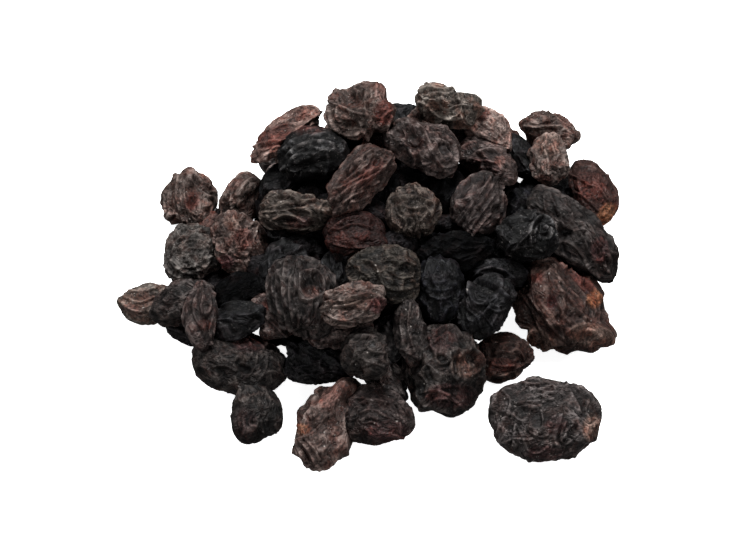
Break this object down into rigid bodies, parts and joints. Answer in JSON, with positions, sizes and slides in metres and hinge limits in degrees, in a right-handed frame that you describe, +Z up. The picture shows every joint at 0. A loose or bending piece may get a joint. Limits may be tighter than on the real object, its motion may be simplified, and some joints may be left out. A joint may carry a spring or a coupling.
{
  "type": "black seedless raisins",
  "caption": "Loose heap of black seedless raisins with deeply wrinkled dark skins, lying on its flat underside, and a larger raisin lying apart in front of it.",
  "frame": {"origin": "on the floor plane, at the middle of the heap's flat underside", "axes": "+Z up, +X to the right and -Y to the front as pictured"},
  "size_m": [0.091, 0.0827, 0.0245],
  "materials": {
    "raisin_skin": "dry wrinkled satin"
  },
  "bodies": {
    "root": {"heap": "raisin_skin", "raisin_apart": "raisin_skin"}
  },
  "joints": []
}
